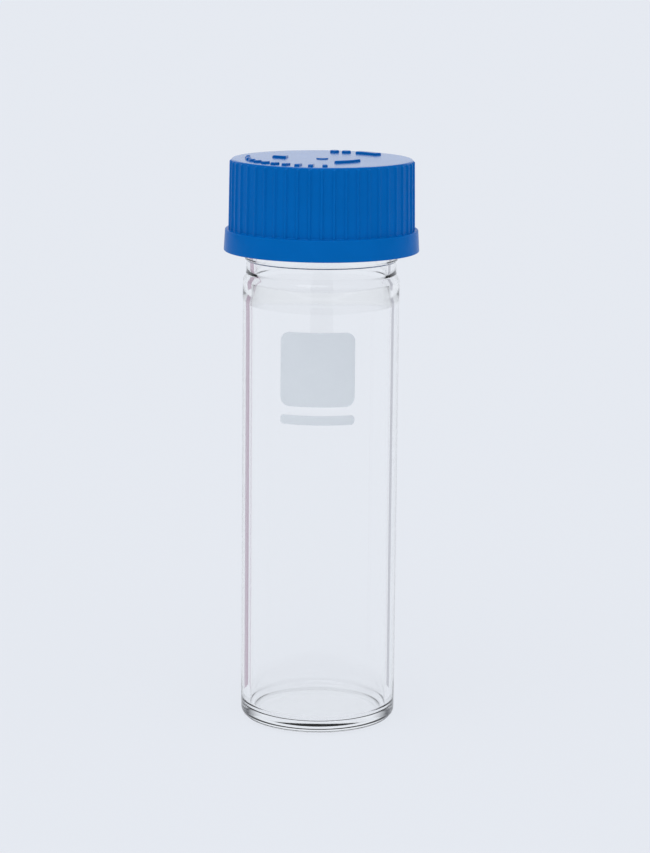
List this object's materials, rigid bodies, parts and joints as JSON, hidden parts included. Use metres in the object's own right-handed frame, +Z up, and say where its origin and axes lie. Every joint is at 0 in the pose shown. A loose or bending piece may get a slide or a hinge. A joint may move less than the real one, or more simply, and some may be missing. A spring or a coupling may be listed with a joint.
{
  "type": "hybridization tube",
  "caption": "Clear glass hybridization tube with a flat base and a round-threaded neck, closed by a ribbed blue screw cap over a soft sealing liner.",
  "frame": {"origin": "middle of the circle on which the foot of the glass stands", "axes": "+Z up along the tube's axis, towards the cap; -Y is the front, where the marking patch is"},
  "size_m": [0.054, 0.054, 0.1586],
  "materials": {
    "borosilicate_glass": "clear, fire-polished",
    "blue_polypropylene": "moulded, satin gloss",
    "silicone_rubber": "soft, faced with a white film",
    "white_enamel": "matt fired enamel"
  },
  "bodies": {
    "tube": {"glass_tube": "borosilicate_glass", "marking_patch": "white_enamel"},
    "liner": {"sealing_liner": "silicone_rubber"},
    "cap": {"screw_cap": "blue_polypropylene"}
  },
  "joints": [
    {"name": "cap_lift", "type": "slide", "parent": "tube", "child": "liner", "axis": [0, 0, 1], "range_m": [0, 0.0241]},
    {"name": "cap_turn", "type": "hinge", "parent": "liner", "child": "cap", "pos_m": [0, 0, 0.154], "axis": [0, 0, 1], "range_deg": [0, 2160]}
  ],
  "couplings": [
    {"joint": "cap_lift", "follows": "cap_turn", "m_per_rad": 0.00063662}
  ]
}
